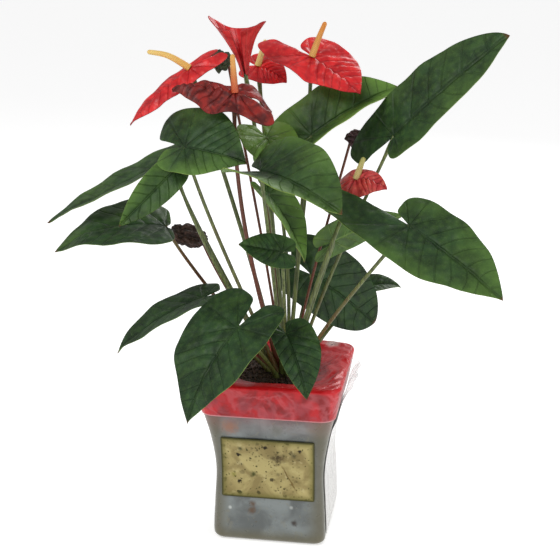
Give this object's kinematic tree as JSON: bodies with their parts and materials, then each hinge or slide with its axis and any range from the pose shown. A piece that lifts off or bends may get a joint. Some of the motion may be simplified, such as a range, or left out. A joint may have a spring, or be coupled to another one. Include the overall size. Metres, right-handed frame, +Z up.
{
  "type": "potted anthurium",
  "caption": "Potted anthurium: heart-shaped green leaves and red spathes on long stems, in a square waisted pot with a foil wrap and a front panel.",
  "frame": {"origin": "centre of the pot's flat underside", "axes": "+Z up along the plant, -Y towards the side with the front panel, +X to the right as seen from the panel's side"},
  "size_m": [0.4251, 0.2567, 0.508],
  "materials": {
    "pot_plastic": "milky translucent film-covered plastic, marbled grey",
    "soil": "dark crumbly potting mix",
    "red_foil": "glossy wrinkled red foil",
    "speckled_panel": "cream card with dark specks",
    "clear_film": "thin clear film",
    "leaf": "satin dark green with paler veins",
    "petiole": "smooth olive green",
    "red_spathe": "glossy waxy red, puckered",
    "wilted_spathe": "dry dark red, wrinkled",
    "spadix": "orange-yellow, finely beaded",
    "stalk": "smooth brownish red",
    "withered": "dry purple-brown, crumpled"
  },
  "bodies": {
    "root": {"pot_body": "pot_plastic", "soil": "soil", "red_wrap": "red_foil", "front_panel": "speckled_panel", "clear_film": "clear_film", "leaf_1_blade": "leaf", "leaf_1_petiole": "petiole", "leaf_2_blade": "leaf", "leaf_2_petiole": "petiole", "leaf_3_blade": "leaf", "leaf_3_petiole": "petiole", "leaf_4_blade": "leaf", "leaf_4_petiole": "petiole", "leaf_5_blade": "leaf", "leaf_5_petiole": "petiole", "leaf_6_blade": "leaf", "leaf_6_petiole": "petiole", "leaf_7_blade": "leaf", "leaf_7_petiole": "petiole", "leaf_8_blade": "leaf", "leaf_8_petiole": "petiole", "leaf_9_blade": "leaf", "leaf_9_petiole": "petiole", "leaf_10_blade": "leaf", "leaf_10_petiole": "petiole", "leaf_11_blade": "leaf", "leaf_11_petiole": "petiole", "leaf_12_blade": "leaf", "leaf_12_petiole": "petiole", "leaf_13_blade": "leaf", "leaf_13_petiole": "petiole", "leaf_14_blade": "leaf", "leaf_14_petiole": "petiole", "leaf_15_blade": "leaf", "leaf_15_petiole": "petiole", "leaf_16_blade": "leaf", "leaf_16_petiole": "petiole", "leaf_17_blade": "leaf", "leaf_17_petiole": "petiole", "flower_1_spathe": "red_spathe", "flower_1_stalk": "stalk", "flower_1_spadix": "spadix", "flower_2_spathe": "red_spathe", "flower_2_stalk": "stalk", "flower_3_spathe": "wilted_spathe", "flower_3_stalk": "stalk", "flower_3_spadix": "spadix", "flower_4_spathe": "wilted_spathe", "flower_4_stalk": "stalk", "flower_4_spadix": "spadix", "flower_5_spathe": "red_spathe", "flower_5_stalk": "stalk", "flower_5_spadix": "spadix", "flower_6_spathe": "red_spathe", "flower_6_stalk": "stalk", "flower_6_spadix": "spadix", "withered_flower_1": "withered", "withered_flower_2": "withered", "withered_flower_3": "withered"}
  },
  "joints": []
}
